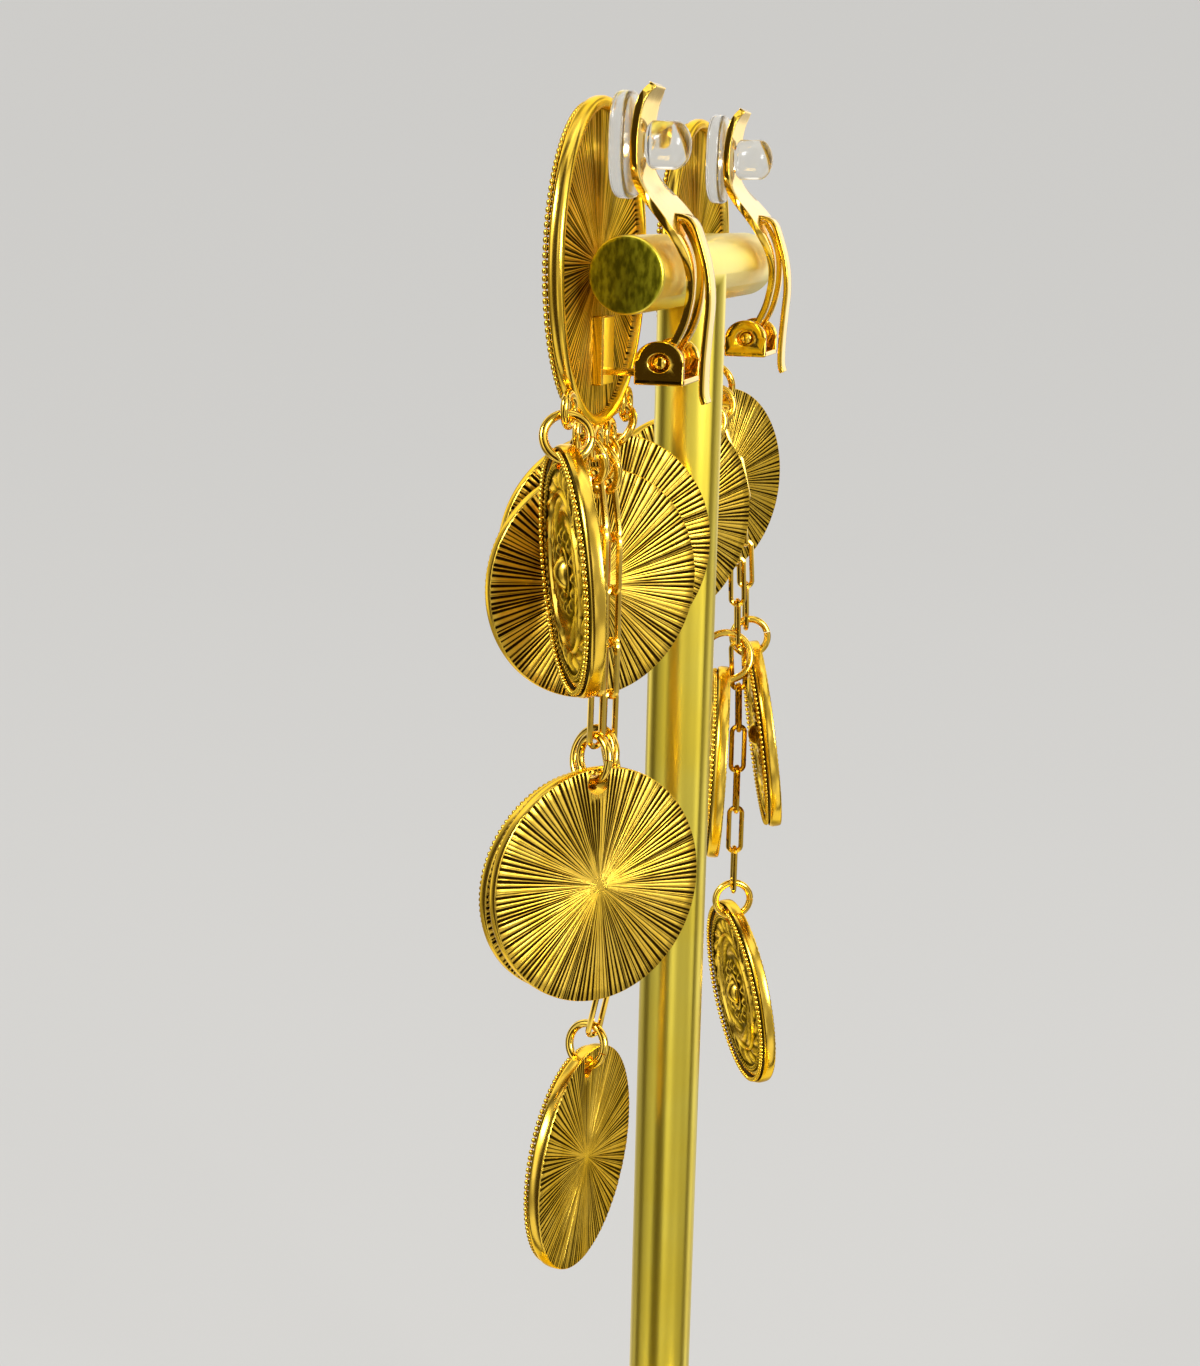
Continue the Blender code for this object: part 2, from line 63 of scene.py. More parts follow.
class Tone:
    """A shader socket that takes part in plain arithmetic; node() adds any other node."""

    def __init__(self, tree, socket=None):
        self.tree = tree
        self.socket = socket

    def node(self, kind, inputs, settings=None, output=0):
        made = self.tree.nodes.new(kind)
        for key, value in (settings or {}).items():
            setattr(made, key, value)
        for key, value in inputs.items():
            if isinstance(value, Tone):
                self.tree.links.new(value.socket, made.inputs[key])
            else:
                made.inputs[key].default_value = value
        return Tone(self.tree, made.outputs[output])

    def sum_of(self, operation, first, second=0.0):
        return self.node("ShaderNodeMath", {0: first, 1: second}, {"operation": operation})

    def __add__(self, other):
        return self.sum_of("ADD", self, other)

    def __radd__(self, other):
        return self.sum_of("ADD", other, self)

    def __sub__(self, other):
        return self.sum_of("SUBTRACT", self, other)

    def __rsub__(self, other):
        return self.sum_of("SUBTRACT", other, self)

    def __mul__(self, other):
        return self.sum_of("MULTIPLY", self, other)

    def __rmul__(self, other):
        return self.sum_of("MULTIPLY", other, self)

    def between(self, low, high, start=0.0, end=1.0):
        """Smoothly from start to end while the value goes from low to high."""
        return self.node("ShaderNodeMapRange", {0: self, 1: low, 2: high, 3: start, 4: end},
                         {"interpolation_type": "SMOOTHSTEP"})

    def mixed(self, first, second):
        """The first colour where the value is 0 and the second where it is 1."""
        return self.node("ShaderNodeMix", {0: self, 6: first, 7: second}, {"data_type": "RGBA"}, 2)

    def noise(self, place, scale, detail=3.0):
        return self.node("ShaderNodeTexNoise", {"Vector": place, "Scale": scale, "Detail": detail})

    def scaled(self, place, factors):
        return self.node("ShaderNodeVectorMath", {0: place, 1: factors}, {"operation": "MULTIPLY"})


def start_finish(name):
    """A new material: its shader and an empty Tone on its tree."""
    finish = bpy.data.materials.new(name)
    finish.use_nodes = True
    return finish, finish.node_tree.nodes["Principled BSDF"], Tone(finish.node_tree)


def feed(shader, **tones):
    """Links worked-out values to the shader's sockets."""
    for name, tone in tones.items():
        tone.tree.links.new(tone.socket, shader.inputs[name.replace("_", " ")])


def added(name, data):
    """A new object in the scene."""
    made = bpy.data.objects.new(name, data)
    bpy.context.scene.collection.objects.link(made)
    return made


def stored(name, shell):
    """Turns a bmesh into a mesh."""
    mesh = bpy.data.meshes.new(name)
    shell.to_mesh(mesh)
    shell.free()
    return mesh


def worked(shell, *steps):
    """Runs modifiers on a bmesh and returns the result as a fresh bmesh."""
    mesh = stored("blank", shell)
    blank = added("blank", mesh)
    for kind, settings in steps:
        step = blank.modifiers.new(kind.title(), kind)
        for key, value in settings.items():
            setattr(step, key, value)
    bpy.context.view_layer.update()
    ready = blank.evaluated_get(bpy.context.evaluated_depsgraph_get())
    done = bpy.data.meshes.new_from_object(ready)
    fresh = bmesh.new()
    fresh.from_mesh(done)
    bpy.data.objects.remove(blank)
    bpy.data.meshes.remove(mesh)
    bpy.data.meshes.remove(done)
    return fresh


def boolean(shell, other, operation):
    """Cuts one closed bmesh with another, or joins them."""
    for solid in (other, shell):
        bmesh.ops.recalc_face_normals(solid, faces=solid.faces)
    tool = added("tool", stored("tool", other))
    result = worked(shell, ("BOOLEAN", {"operation": operation, "solver": "EXACT", "object": tool}))
    bpy.data.objects.remove(tool)
    return result


def gathered(shells):
    """Several bmeshes as one."""
    whole = bmesh.new()
    for shell in shells:
        part = stored("part", shell)
        whole.from_mesh(part)
        bpy.data.meshes.remove(part)
    return whole


def placed(shell, place):
    """Moves and turns a bmesh."""
    bmesh.ops.transform(shell, matrix=place, verts=shell.verts)
    return shell


def broken(shell, edges, offset, segments=2):
    """Breaks or rounds over the given edges."""
    bmesh.ops.bevel(shell, geom=edges, offset=offset, affect="EDGES", segments=segments,
                    profile=0.5, material=-1)
    return shell


def cylinder(radius, length, steps, place):
    """A plain closed cylinder, its axis along local Z and its middle at the origin."""
    shell = bmesh.new()
    bmesh.ops.create_cone(shell, cap_ends=True, segments=steps, radius1=radius, radius2=radius,
                          depth=length, matrix=place)
    return shell


def rims_across(shell, axis):
    """The edges that lie square across an axis."""
    return [e for e in shell.edges if abs(e.verts[0].co[axis] - e.verts[1].co[axis]) < 1e-6]


def piece(name, shell, finish, body, nodes=(), sharp=0.6, flats=False):
    """Makes a finished bmesh an object that rides on a body and stands for its CAD nodes."""
    bmesh.ops.remove_doubles(shell, verts=shell.verts, dist=1e-7)
    bmesh.ops.recalc_face_normals(shell, faces=shell.faces)
    mesh = stored(name, shell)
    mesh.materials.append(finish)
    mesh.shade_smooth()
    mesh.set_sharp_from_angle(angle=sharp)
    made = added(name, mesh)
    if flats:
        made.modifiers.new("flat faces stay flat", "WEIGHTED_NORMAL").keep_sharp = True
    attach(made, body)
    if nodes:
        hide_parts(*nodes)
    return made


def rod(length, place):
    """A faced rod with a chamfer at both ends."""
    shell = cylinder(ROD_RADIUS, length, ROD_STEPS, Matrix())
    return placed(broken(shell, rims_across(shell, 2), ROD_CHAMFER, 3), place)


satin_gold, shader, tone = start_finish("satin_gold_plate")
place = tone.node("ShaderNodeTexCoord", {}, output="Object")
across = tone.node("ShaderNodeSeparateXYZ", {0: place}, output="X")
up = tone.node("ShaderNodeSeparateXYZ", {0: place}, output="Z")
away = tone.sum_of("ABSOLUTE", across)
end_face = away.between(*(BAR_LENGTH / 2 - depth for depth in FACING_DEPTH)) * up.between(0.08, 0.10)
cloud = tone.noise(place, 90.0)
grain = tone.noise(tone.scaled(place, (1.0, 1.0, 0.06)), 5200.0, 2.0)
scratch = tone.noise(tone.scaled(place, (1.0, 1.0, 0.45)), 2300.0, 5.0)
plate = cloud.between(0.3, 0.7).mixed(SATIN_PLATE, SATIN_SHADE)
brushed = scratch.between(0.35, 0.68).mixed(FACED_DARK, FACED_LIGHT)
height = grain * (1.0 - end_face) + scratch * end_face * 3.0
bump = tone.node("ShaderNodeBump", {"Strength": 0.12, "Distance": 0.00003, "Height": height})
feed(shader, Base_Color=end_face.mixed(plate, brushed), Normal=bump,
     Roughness=0.25 + 0.09 * cloud + 0.12 * end_face)
shader.inputs["Metallic"].default_value = 1.0

post_length = BAR_HEIGHT - POST_FOOT
bar = rod(BAR_LENGTH, Matrix.Translation((0, 0, BAR_HEIGHT)) @ Matrix.Rotation(math.pi / 2, 4, "Y"))
post = rod(post_length, Matrix.Translation((0, 0, POST_FOOT + post_length / 2)))
piece("gold_t_bar", boolean(bar, post, "UNION"), satin_gold, STAND_BODY,
      ["stand_tbar"], 0.7, True)

# The stand's base
# A turned brass weight with the same satin plate, a rounded shoulder and a shallow step round its middle.
# The post seats in a socket at its centre.
BASE_RADIUS = 29.0 * MM
BASE_THICKNESS = 4.0 * MM
SOCKET_RADIUS = ROD_RADIUS + 0.3 * MM
SOCKET_FLOOR = 1.8 * MM
BASE_STEP = 0.79


def turned(profile, steps, angle=math.tau):
    """Turns a profile of (radius, height) points about Z, poles closed."""
    shell = bmesh.new()
    points = [shell.verts.new((radius, 0.0, height)) for radius, height in profile]
    for first, second in zip(points, points[1:]):
        shell.edges.new((first, second))
    bmesh.ops.spin(shell, geom=shell.verts[:] + shell.edges[:], cent=(0, 0, 0), axis=(0, 0, 1),
                   angle=angle, steps=steps, use_merge=True)
    bmesh.ops.remove_doubles(shell, verts=shell.verts, dist=1e-8)
    return shell


base_profile = [(0.0, 0.0), (BASE_RADIUS - 0.5 * MM, 0.0), (BASE_RADIUS - 0.1 * MM, 0.15 * MM)]
base_profile += [(BASE_RADIUS, 0.6 * MM), (BASE_RADIUS, BASE_THICKNESS - 0.9 * MM)]
base_profile.append((BASE_RADIUS - 0.25 * MM, BASE_THICKNESS - 0.3 * MM))
base_profile.append((BASE_RADIUS - 0.8 * MM, BASE_THICKNESS))
base_profile.append(((BASE_STEP + 0.01) * BASE_RADIUS, BASE_THICKNESS))
base_profile.append((BASE_STEP * BASE_RADIUS, BASE_THICKNESS - 0.2 * MM))
base_profile.append(((BASE_STEP - 0.01) * BASE_RADIUS, BASE_THICKNESS))
base_profile += [(SOCKET_RADIUS + 0.3 * MM, BASE_THICKNESS), (SOCKET_RADIUS, BASE_THICKNESS - 0.3 * MM)]
base_profile += [(SOCKET_RADIUS, SOCKET_FLOOR), (0.0, SOCKET_FLOOR)]
piece("stand_weight", turned(base_profile, 128), satin_gold, STAND_BODY, ["stand_base"], 0.5)

# The cast discs
# Brass castings with a rich gold plate, antiqued: dark is left in the grooves and rubbed off the ridges.
# The back is a fine sunburst. The front has a beaded border, bands of swirls and petals, and a domed centre.
TOP_RADIUS = 12.9 * MM
TOP_RECESS = 0.7 * MM
DISC_RADIUS = 9.85 * MM
DISC_THICKNESS = 1.6 * MM
HOLE_RADIUS = 0.95 * MM
HOLE_PLACE = DISC_RADIUS - 0.30 * MM - HOLE_RADIUS
GROUND = 0.78 * DISC_THICKNESS
BORDER = 0.952
RELIEF = 0.30 * MM
ROPE_RISE = 0.14 * MM
SUNBURST_RISE = 0.07 * MM
SCROLL_BANDS = ((0.235, 0.36, 14, 0.0), (0.39, 0.60, 9, 1.6), (0.65, 0.79, 22, -1.0))
CAST_PLATE = (0.95, 0.64, 0.085, 1.0)
CAST_SHADE = (0.84, 0.53, 0.045, 1.0)
ANTIQUING = (0.020, 0.009, 0.0008, 1.0)

cast_gold, shader, tone = start_finish("antiqued_cast_gold")
place = tone.node("ShaderNodeAttribute", {}, {"attribute_name": "cast_place"}, "Vector")
groove = tone.node("ShaderNodeAttribute", {}, {"attribute_name": "groove"}, "Fac")
sunburst = tone.node("ShaderNodeAttribute", {}, {"attribute_name": "sunburst"}, "Fac")
flat = tone.scaled(place, (1.0, 1.0, 0.0))
outward = tone.node("ShaderNodeVectorMath", {0: flat}, {"operation": "NORMALIZE"})
streak = tone.noise(outward, 62.0, 2.0).between(0.50, 0.66) * sunburst
tooling = tone.noise(outward, 150.0, 1.0)
patch = tone.noise(place, 230.0)
speck = tone.noise(place, 2400.0)
dark = tone.sum_of("MAXIMUM", groove, 0.55 * streak)
dark = (dark + 0.3 * (patch - 0.5)).between(0.12, 0.62)
plate = patch.between(0.3, 0.7).mixed(CAST_PLATE, CAST_SHADE)
height = speck * 0.12 + tooling * sunburst * 0.5 - streak * 0.6
bump = tone.node("ShaderNodeBump", {"Strength": 0.35, "Distance": 0.00006, "Height": height})
feed(shader, Base_Color=dark.mixed(plate, ANTIQUING), Normal=bump,
     Roughness=0.14 + 0.20 * sunburst + 0.10 * patch + 0.25 * dark)
shader.inputs["Metallic"].default_value = 1.0
shader.inputs["Specular Tint"].default_value = (1.0, 0.82, 0.40, 1.0)


def upright(centre, azimuth, lean=0.0):
    """Frame of a hanging disc: local Z is its front, local Y is up; azimuth is where its back faces."""
    a = math.radians(azimuth)
    t = math.radians(lean)
    back = Vector((math.cos(a) * math.cos(t), math.sin(a) * math.cos(t), math.sin(t)))
    up = Vector((-math.cos(a) * math.sin(t), -math.sin(a) * math.sin(t), math.cos(t)))
    turn = Matrix((up.cross(-back), up, -back)).transposed().to_4x4()
    return Matrix.Translation(centre) @ turn


def sunburst_lines(seed, steps):
    """For each angular step: how deep its groove is, and the share of the radius where it starts."""
    dice = random.Random(seed)
    lines = [(0.0, 1.0)] * steps
    step = 0
    while step < steps - 2:
        line = (dice.uniform(0.6, 1.0), dice.choice((0.0, 0.03, 0.07, 0.12, 0.20, 0.30)))
        lines[step] = line
        if dice.random() < 0.7:
            lines[step + 1] = line
        step += dice.choice((3, 3, 4, 4, 4, 5))
    return lines


def scrollwork(share, angle):
    """Height of the front's relief, 0 to 1: a petal ring, two bands of swirls and plain rings between."""
    for low, high, arms, turns in SCROLL_BANDS:
        if low < share < high:
            across = (share - low) / (high - low)
            swirl = 0.5 + 0.5 * math.cos(arms * angle + math.tau * turns * across)
            return swirl * math.sin(math.pi * across) ** 0.5
    return 1.0 if share < 0.235 or 0.365 < share < 0.38 or 0.61 < share < 0.64 else 0.0


def casting(radius, recess, steps, beads, bead, seed):
    """One disc, struck front and back: local Z is its front and its back's rim is at height 0."""
    rise = DISC_THICKNESS
    dome = radius * 0.135
    profile = [(0.0, rise + 0.62 * MM, 0), (0.35 * dome, rise + 0.55 * MM, 0)]
    profile += [(0.7 * dome, rise + 0.28 * MM, 0), (0.92 * dome, rise - 0.02 * MM, 0)]
    profile += [(dome, GROUND, 1), (1.12 * dome, GROUND - 0.05 * MM, 1)]
    profile += [(1.25 * dome, GROUND + 0.16 * MM, 0), (1.42 * dome, GROUND + 0.16 * MM, 0)]
    profile.append((1.55 * dome, GROUND, 1))
    relief = (0.235, 0.26, 0.285, 0.31, 0.335, 0.36, 0.39, 0.42, 0.45, 0.48, 0.51, 0.54, 0.57, 0.60, 0.625,
              0.65, 0.675, 0.70, 0.725, 0.75, 0.775, 0.79)
    profile += [(share * radius, GROUND, 2) for share in relief]
    profile += [(share * radius, GROUND + above * MM, kind) for share, above, kind in (
        (0.805, -0.06, 1), (0.818, 0.04, 3), (0.835, 0.10, 3), (0.852, 0.04, 3), (0.866, -0.06, 1),
        (0.88, 0.0, 0), (0.905, 0.0, 0), (0.918, -0.10, 1), (BORDER, -0.06, 1))]
    profile += [(share * radius, part * rise, kind) for share, part, kind in (
        (0.976, 0.72, 1), (0.985, 0.73, 0), (0.994, 0.67, 0), (1.0, 0.53, 0), (1.0, 0.28, 0))]
    rim = ((0.998, 0.12, 0), (0.994, 0.04, 0), (0.988, 0.0, 4))
    if recess:
        rim = ((0.994, 0.14, 0), (0.982, 0.03, 0), (0.965, 0.0, 0), (0.945, 0.02, 0), (0.93, 0.10, 0))
    profile += [(share * radius, part * rise, kind) for share, part, kind in rim]
    if recess:
        profile.append((0.92 * radius, recess, 4))
    shares = (0.90, 0.70, 0.50, 0.34, 0.22, 0.14, 0.08, 0.04, 0.015, 0.0)
    profile += [(share * radius, recess, 4) for share in shares]

    shell = bmesh.new()
    zone = shell.verts.layers.float.new("zone")
    place = shell.verts.layers.float_vector.new("cast_place")
    groove = shell.verts.layers.float.new("groove")
    burst = shell.verts.layers.float.new("sunburst")
    for number in range(beads):
        angle = math.tau * (number + 0.5) / beads
        middle = Vector((math.cos(angle), math.sin(angle), 0.0)) * BORDER * radius
        if not recess and (middle - Vector((0, HOLE_PLACE, 0))).length < HOLE_RADIUS + bead:
            continue
        middle.z = GROUND + 0.22 * MM
        bmesh.ops.create_uvsphere(shell, u_segments=7, v_segments=4, radius=bead,
                                  matrix=Matrix.Translation(middle))
    points = []
    edges = []
    for across, height, kind in profile:
        vert = shell.verts.new((across, 0.0, height))
        vert[zone] = kind
        if points:
            edges.append(shell.edges.new((points[-1], vert)))
        points.append(vert)
    bmesh.ops.spin(shell, geom=points + edges, cent=(0, 0, 0), axis=(0, 0, 1),
                   angle=math.tau, steps=steps, use_merge=True)
    bmesh.ops.remove_doubles(shell, verts=shell.verts, dist=1e-8)

    lines = sunburst_lines(seed, steps)
    for vert in shell.verts:
        x, y, z = vert.co
        share = math.hypot(x, y) / radius
        angle = math.atan2(y, x) % math.tau
        kind = round(vert[zone])
        if kind == 1:
            vert[groove] = 0.9
        elif kind == 2:
            wave = scrollwork(share, angle)
            vert.co.z += RELIEF * wave - 0.08 * MM
            vert[groove] = 0.50 * (1.0 - wave) ** 1.5
        elif kind == 3:
            ripple = 0.5 + 0.5 * math.cos(round(beads * 0.75) * angle)
            vert.co.z += ROPE_RISE * ripple
            vert[groove] = 0.6 * (1.0 - ripple)
        elif kind == 4:
            depth, start = lines[round(angle / math.tau * steps) % steps]
            cut = depth * min(max((share - start) / 0.08, 0.0), 1.0)
            vert.co.z += SUNBURST_RISE * cut * min(share * 3.0, 1.0) ** 2
            vert[groove] = cut
            vert[burst] = min(share * 5.0, 1.0)

    for vert in shell.verts:
        vert[place] = vert.co
    return shell


def drilled(shell):
    """The casting with the hole that its jump ring passes through."""
    drill = cylinder(HOLE_RADIUS, 8 * DISC_THICKNESS, 32, Matrix.Translation((0, HOLE_PLACE, 0)))
    return boolean(shell, drill, "DIFFERENCE")


small_cast = stored("small_cast", drilled(casting(DISC_RADIUS, 0.0, 480, 118, 0.25 * MM, 1)))
large_cast = stored("large_cast", casting(TOP_RADIUS, TOP_RECESS, 576, 138, 0.285 * MM, 2))


def cast_piece(name, mesh, place, node):
    """A copy of a casting, hung in its place."""
    shell = bmesh.new()
    shell.from_mesh(mesh)
    piece(name, placed(shell, place), cast_gold, STAND_BODY, [node], 0.9)


EARRING_X = {"right": 16.0 * MM, "left": -19.0 * MM}
OUTWARD = {"right": 1.0, "left": -1.0}
DISC_BACK = -ROD_RADIUS - 0.3 * MM
TOP_CENTRE = BAR_HEIGHT + 0.6 * MM
for side in EARRING_X:
    place = upright(Vector((EARRING_X[side], DISC_BACK, TOP_CENTRE)), 90.0)
    cast_piece(side + "_top_casting", large_cast, place, side + "_top_disc")

# The eyes under each top disc
# Five small loops of round brass wire, soldered to the disc's lower edge and plated with it.
# They carry three short drops and the two chains.
EYES = {"upper_outer": 41.0, "short_chain": 25.0, "long_chain": 7.0, "upper_middle": -11.0,
        "upper_inner": -34.0}
EYE_RADIUS = 1.27 * MM
EYE_WIRE = 0.30 * MM
EYE_REACH = TOP_RADIUS + EYE_RADIUS + EYE_WIRE - 0.30 * MM
EYE_SWELL = 0.03 * MM
RING_SHRINK = math.cos(math.pi / 10)
POLISHED_PLATE = (0.97, 0.67, 0.10, 1.0)
POLISHED_SHADE = (0.91, 0.57, 0.06, 1.0)

polished_gold, shader, tone = start_finish("polished_gold_plate")
place = tone.node("ShaderNodeTexCoord", {}, output="Object")
patch = tone.noise(place, 260.0)
haze = tone.noise(place, 1500.0)
plate = patch.between(0.3, 0.7).mixed(POLISHED_PLATE, POLISHED_SHADE)
bump = tone.node("ShaderNodeBump", {"Strength": 0.10, "Distance": 0.00005, "Height": haze + patch * 2.0})
feed(shader, Base_Color=plate, Roughness=0.07 + 0.08 * haze, Normal=bump)
shader.inputs["Metallic"].default_value = 1.0


def wire_loop(radius, wire, steps, sides, slit=0.0):
    """A loop of round wire about local Z, open by slit radians where a jump ring's ends meet."""
    shell = bmesh.new()
    place = Matrix.Translation((radius, 0, 0)) @ Matrix.Rotation(math.pi / 2, 4, "X")
    bmesh.ops.create_circle(shell, segments=sides, radius=wire, matrix=place)
    bmesh.ops.spin(shell, geom=shell.verts[:] + shell.edges[:], cent=(0, 0, 0), axis=(0, 0, 1),
                   angle=math.tau - slit, steps=steps, use_merge=not slit)
    if slit:
        bmesh.ops.holes_fill(shell, edges=[e for e in shell.edges if e.is_boundary])
    return shell


def eye_centre(side, eye):
    """The middle of one of a top disc's eyes."""
    angle = math.radians(EYES[eye])
    return Vector((EARRING_X[side] + OUTWARD[side] * EYE_REACH * math.sin(angle),
                   DISC_BACK - EYE_WIRE - 0.05 * MM, TOP_CENTRE - EYE_REACH * math.cos(angle)))


for side in EARRING_X:
    loops = [placed(wire_loop(EYE_RADIUS * (1 + RING_SHRINK) / 2, EYE_WIRE + EYE_SWELL, 40, 12),
                    upright(eye_centre(side, eye), 90.0)) for eye in EYES]
    piece(side + "_soldered_eyes", gathered(loops), polished_gold, STAND_BODY)

# The clip brackets
# Sheet brass, cut and folded: a foot soldered to the disc's back, a neck, a floor and two pierced ears
# that hold the lever's pin. Polished and plated, with its edges left bright.
PIVOT_Y = 1.85 * MM
PIVOT_Z = BAR_HEIGHT - 6.8 * MM
PIN_RADIUS = 0.62 * MM
EAR_IN = 2.6 * MM
EAR_THICKNESS = 0.5 * MM
EAR_RADIUS = 2.0 * MM
EAR_TOP = 1.7 * MM
FLOOR_DROP = 1.75 * MM
SHEET_EDGE = 0.09 * MM
BEND_ANGLE = 1.2


def block(low, high, edge):
    """A cut piece of sheet or wire with its edges broken."""
    shell = bmesh.new()
    bmesh.ops.create_cube(shell, size=1.0)
    size = Matrix.Diagonal((*(b - a for a, b in zip(low, high)), 1.0))
    centre = Matrix.Translation([(a + b) / 2 for a, b in zip(low, high)])
    return broken(placed(shell, centre @ size), shell.edges[:], edge)


def drawn_out(shell, depth):
    """Gives a flat sheet its thickness, along local Z."""
    grown = bmesh.ops.extrude_face_region(shell, geom=shell.faces[:])["geom"]
    moved = [v for v in grown if isinstance(v, bmesh.types.BMVert)]
    bmesh.ops.translate(shell, vec=(0, 0, depth), verts=moved)


def sheet_rims(shell):
    """A sheet's sharp edges, on its outline and round its holes."""
    bmesh.ops.recalc_face_normals(shell, faces=shell.faces)
    return [e for e in shell.edges if len(e.link_faces) == 2 and e.calc_face_angle() > BEND_ANGLE]


def ear(x):
    """A pierced ear: a half round over a straight skirt, standing across X."""
    shell = bmesh.new()
    for radius in (1.0, (PIN_RADIUS + 0.12 * MM) / EAR_TOP):
        bmesh.ops.create_circle(shell, segments=40, radius=radius)
    for vert in shell.verts:
        if vert.co.length > 0.9 and vert.co.y < -0.01:
            vert.co.y = -(FLOOR_DROP - 0.1 * MM) / EAR_TOP
            vert.co.x = max(min(vert.co.x * 1.25, 1.0), -1.0)
    bmesh.ops.bridge_loops(shell, edges=shell.edges[:])
    drawn_out(shell, 1.0)
    squash = Matrix.Diagonal((EAR_RADIUS, EAR_TOP, EAR_THICKNESS, 1.0))
    stand = Matrix(((0, 0, 1, 0), (1, 0, 0, 0), (0, 1, 0, 0), (0, 0, 0, 1)))
    placed(shell, Matrix.Translation((x, PIVOT_Y - 0.05 * MM, PIVOT_Z)) @ stand @ squash)
    return broken(shell, sheet_rims(shell), SHEET_EDGE)


for side, x in EARRING_X.items():
    floor_low = PIVOT_Z - FLOOR_DROP
    floor_top = floor_low + 0.5 * MM
    recess = DISC_BACK - TOP_RECESS
    front = PIVOT_Y - 2.05 * MM
    back = PIVOT_Y + 1.95 * MM
    ear_out = EAR_IN + EAR_THICKNESS
    parts = [block((x - 1.7 * MM, recess - 0.1 * MM, BAR_HEIGHT - 8.9 * MM),
                   (x + 1.7 * MM, recess + 0.9 * MM, BAR_HEIGHT - 3.4 * MM), 0.16 * MM)]
    parts.append(block((x - 1.2 * MM, recess, floor_top),
                       (x + 1.2 * MM, front + 0.4 * MM, floor_top + 0.45 * MM), SHEET_EDGE))
    parts.append(block((x - ear_out, front, floor_low), (x + ear_out, back, floor_top), 0.12 * MM))
    parts += [ear(x - ear_out), ear(x + EAR_IN)]
    piece(side + "_clip_bracket", gathered(parts), polished_gold, STAND_BODY,
          (), BEND_ANGLE, True)

# The clip levers
# Spring brass strip, stamped and bent: a paddle, two legs down to a round pin, and a tongue that snaps
# it shut. Polished and plated like the brackets.
SHEET = 0.6 * MM
SLOT = 1.4 * MM
SLOT_TOP = 4.1 * MM
PAD_RISE = 9.8 * MM
STEM_RADIUS = 0.95 * MM
STEM_HOLE = STEM_RADIUS + 0.3 * MM
KNUCKLE_RADIUS = 1.7 * PIN_RADIUS
KNUCKLE_PLACES = (-1.85 * MM, 1.85 * MM)
PIN_REACH = 3.1 * MM
TONGUE_SHEET = 0.45 * MM
LEVER = ((0.45, 14.3, 2.1), (-0.25, 13.1, 2.6), (-0.60, 11.5, 2.8), (-0.70, 9.6, 2.9), (-0.60, 8.0, 3.0),
         (-0.10, 6.9, 3.9), (0.85, 5.8, 4.9), (1.85, 4.7, 5.2), (2.75, 3.5, 5.0), (3.45, 2.2, 4.2),
         (3.85, 0.8, 3.1), (3.95, -0.8, 2.3), (3.80, -2.4, 2.3), (3.30, -4.2, 2.3), (2.15, -6.4, 2.3))
TONGUE = ((2.05, 4.50, 1.1), (3.50, 4.10, 1.1), (4.35, 2.20, 1.1), (4.95, 0.00, 1.1), (5.15, -2.20, 1.1),
          (5.00, -4.50, 1.1), (4.85, -7.00, 1.1), (4.85, -9.20, 1.1), (5.10, -10.10, 1.0))


def bent_rows(table, per_span):
    """Rows of a bent strip along a smooth curve through the table's rows."""
    rows = []
    for index in range(len(table) - 1):
        around = [Vector(table[min(max(index + step, 0), len(table) - 1)]) for step in (-1, 0, 1, 2)]
        for part in range(per_span):
            t = part / per_span
            before, here, there, after = around
            rows.append(0.5 * (2 * here + (there - before) * t
                               + (2 * before - 5 * here + 4 * there - after) * t ** 2
                               + (3 * here - before - 3 * there + after) * t ** 3))
    return rows + [Vector(table[-1])]


def strip(table, columns, tip):
    """A bent strip without thickness; columns gives the places across it for a half width."""
    rows = bent_rows(table, 5)
    shell = bmesh.new()
    bmesh.ops.create_grid(shell, x_segments=len(columns(1.0)) - 1, y_segments=len(rows) - 1, size=1.0)
    ordered = sorted(shell.verts, key=lambda v: (round(v.co.y, 5), v.co.x))
    across = len(columns(1.0))
    for row, (y, height, half) in enumerate(rows):
        from_tip = (rows[0] - rows[row]).length
        round_off = math.sqrt(1 - (1 - min(from_tip / tip, 1.0)) ** 2) if tip else 1.0
        half *= 0.45 + 0.55 * round_off
        for x, vert in zip(columns(half), ordered[across * row:across * row + across]):
            vert.co = Vector((x, y, height)) * MM
    return shell


def thickened(shell, sheet, edge):
    """Gives a bent strip its thickness and rounds its edges over."""
    bmesh.ops.recalc_face_normals(shell, faces=shell.faces)
    return worked(shell, ("SOLIDIFY", {"thickness": sheet, "offset": 0.0, "use_even_offset": True}),
                  ("BEVEL", {"width": edge, "segments": 3, "limit_method": "ANGLE", "angle_limit": 0.9}))


def lever_columns(half):
    """Places across the lever, with its slot's edges among them."""
    slot = SLOT / MM
    half = max(half, slot + 0.2)
    middle = (half + slot) / 2
    return [-half, -middle, -slot, -0.5, 0.5, slot, middle, half]


